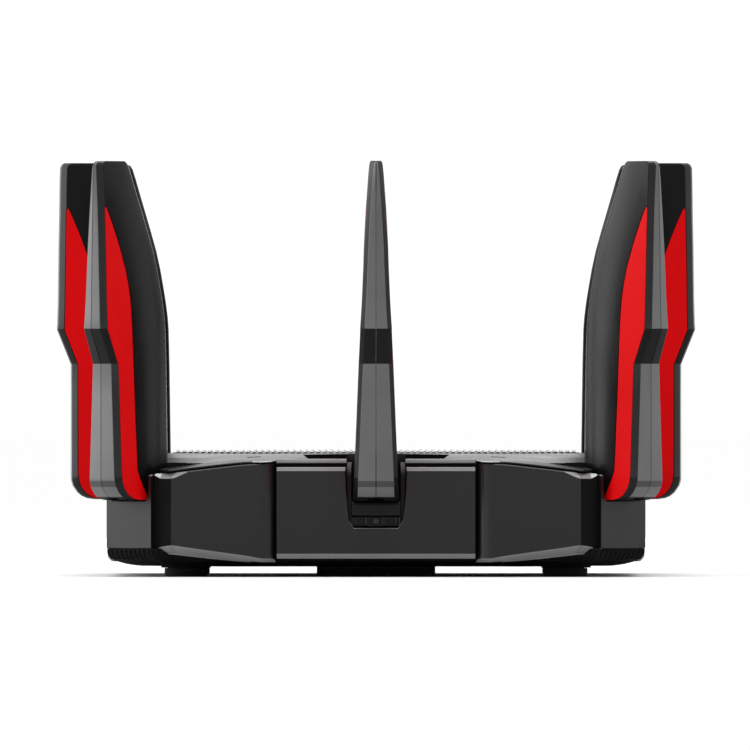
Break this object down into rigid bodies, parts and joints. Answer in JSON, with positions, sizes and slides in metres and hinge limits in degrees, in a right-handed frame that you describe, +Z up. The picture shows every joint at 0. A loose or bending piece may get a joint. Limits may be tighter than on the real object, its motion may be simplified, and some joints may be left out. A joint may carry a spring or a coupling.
{
  "type": "wireless router",
  "caption": "Square black wireless router with fin-shaped fold-out antennas around its sides and corners, each with red trim, a vented top, side panels and a row of rear sockets.",
  "frame": {"origin": "centre of the body on the plane its four feet stand on", "axes": "+Z up, -Y is the front face, +Y the face with the sockets, +X the viewer's right"},
  "size_m": [0.2844, 0.2844, 0.1835],
  "materials": {
    "body_black": "fine-grained black plastic",
    "satin_black": "satin dark grey-black plastic",
    "antenna_shell": "satin gunmetal ridge on black plastic",
    "antenna_red": "semi-gloss red plastic",
    "rubber": "matt black rubber",
    "port_metal": "plated socket shell",
    "heatsink_metal": "plain extruded aluminium",
    "board": "green solder mask on glass-fibre board"
  },
  "bodies": {
    "router_body": {"upper_housing": "body_black", "lower_housing": "body_black", "power_jack": "body_black", "front_panel": "satin_black", "rear_panel": "satin_black", "left_panel": "satin_black", "right_panel": "satin_black", "top_grille": "satin_black", "foot_front_left": "rubber", "foot_front_right": "rubber", "foot_rear_left": "rubber", "foot_rear_right": "rubber", "main_board": "board", "heatsink": "heatsink_metal", "ethernet_port_block": "port_metal", "usb_port_block": "port_metal", "front_antenna_mount": "body_black", "front_right_antenna_mount": "body_black", "right_antenna_mount": "body_black", "rear_right_antenna_mount": "body_black", "rear_antenna_mount": "body_black", "rear_left_antenna_mount": "body_black", "left_antenna_mount": "body_black", "front_left_antenna_mount": "body_black"},
    "front_antenna": {"front_antenna_left_shell": "antenna_shell", "front_antenna_left_trim": "antenna_red", "front_antenna_right_shell": "antenna_shell", "front_antenna_right_trim": "antenna_red"},
    "front_right_antenna": {"front_right_antenna_left_shell": "antenna_shell", "front_right_antenna_left_trim": "antenna_red", "front_right_antenna_right_shell": "antenna_shell", "front_right_antenna_right_trim": "antenna_red"},
    "right_antenna": {"right_antenna_left_shell": "antenna_shell", "right_antenna_left_trim": "antenna_red", "right_antenna_right_shell": "antenna_shell", "right_antenna_right_trim": "antenna_red"},
    "rear_right_antenna": {"rear_right_antenna_left_shell": "antenna_shell", "rear_right_antenna_left_trim": "antenna_red", "rear_right_antenna_right_shell": "antenna_shell", "rear_right_antenna_right_trim": "antenna_red"},
    "rear_antenna": {"rear_antenna_left_shell": "antenna_shell", "rear_antenna_left_trim": "antenna_red", "rear_antenna_right_shell": "antenna_shell", "rear_antenna_right_trim": "antenna_red"},
    "rear_left_antenna": {"rear_left_antenna_left_shell": "antenna_shell", "rear_left_antenna_left_trim": "antenna_red", "rear_left_antenna_right_shell": "antenna_shell", "rear_left_antenna_right_trim": "antenna_red"},
    "left_antenna": {"left_antenna_left_shell": "antenna_shell", "left_antenna_left_trim": "antenna_red", "left_antenna_right_shell": "antenna_shell", "left_antenna_right_trim": "antenna_red"},
    "front_left_antenna": {"front_left_antenna_left_shell": "antenna_shell", "front_left_antenna_left_trim": "antenna_red", "front_left_antenna_right_shell": "antenna_shell", "front_left_antenna_right_trim": "antenna_red"},
    "power_push": {"power_button": "satin_black"},
    "reset_push": {"reset_button": "satin_black"},
    "wps_push": {"wps_button": "satin_black"},
    "wifi_push": {"wifi_button": "satin_black"}
  },
  "joints": [
    {"name": "front_antenna_fold", "type": "hinge", "parent": "router_body", "child": "front_antenna", "pos_m": [0, -0.126, 0.0438], "axis": [1, 0, 0], "range_deg": [0, 90]},
    {"name": "front_right_antenna_fold", "type": "hinge", "parent": "router_body", "child": "front_right_antenna", "pos_m": [0.1142, -0.1142, 0.0438], "axis": [0.7071, 0.7071, 0], "range_deg": [0, 90]},
    {"name": "right_antenna_fold", "type": "hinge", "parent": "router_body", "child": "right_antenna", "pos_m": [0.126, 0, 0.0438], "axis": [0, 1, 0], "range_deg": [0, 90]},
    {"name": "rear_right_antenna_fold", "type": "hinge", "parent": "router_body", "child": "rear_right_antenna", "pos_m": [0.1142, 0.1142, 0.0438], "axis": [-0.7071, 0.7071, 0], "range_deg": [0, 90]},
    {"name": "rear_antenna_fold", "type": "hinge", "parent": "router_body", "child": "rear_antenna", "pos_m": [0, 0.126, 0.0438], "axis": [-1, 0, 0], "range_deg": [0, 90]},
    {"name": "rear_left_antenna_fold", "type": "hinge", "parent": "router_body", "child": "rear_left_antenna", "pos_m": [-0.1142, 0.1142, 0.0438], "axis": [-0.7071, -0.7071, 0], "range_deg": [0, 90]},
    {"name": "left_antenna_fold", "type": "hinge", "parent": "router_body", "child": "left_antenna", "pos_m": [-0.126, 0, 0.0438], "axis": [0, -1, 0], "range_deg": [0, 90]},
    {"name": "front_left_antenna_fold", "type": "hinge", "parent": "router_body", "child": "front_left_antenna", "pos_m": [-0.1142, -0.1142, 0.0438], "axis": [0.7071, -0.7071, 0], "range_deg": [0, 90]},
    {"name": "power_button_press", "type": "slide", "parent": "router_body", "child": "power_push", "axis": [0, -1, 0], "range_m": [0, 0.0012], "stiffness_N_per_m": 400},
    {"name": "reset_button_press", "type": "slide", "parent": "router_body", "child": "reset_push", "axis": [0, -1, 0], "range_m": [0, 0.0008], "stiffness_N_per_m": 400},
    {"name": "wps_button_press", "type": "slide", "parent": "router_body", "child": "wps_push", "axis": [-1, 0, 0], "range_m": [0, 0.0007], "stiffness_N_per_m": 400},
    {"name": "wifi_button_press", "type": "slide", "parent": "router_body", "child": "wifi_push", "axis": [-1, 0, 0], "range_m": [0, 0.0007], "stiffness_N_per_m": 400}
  ]
}
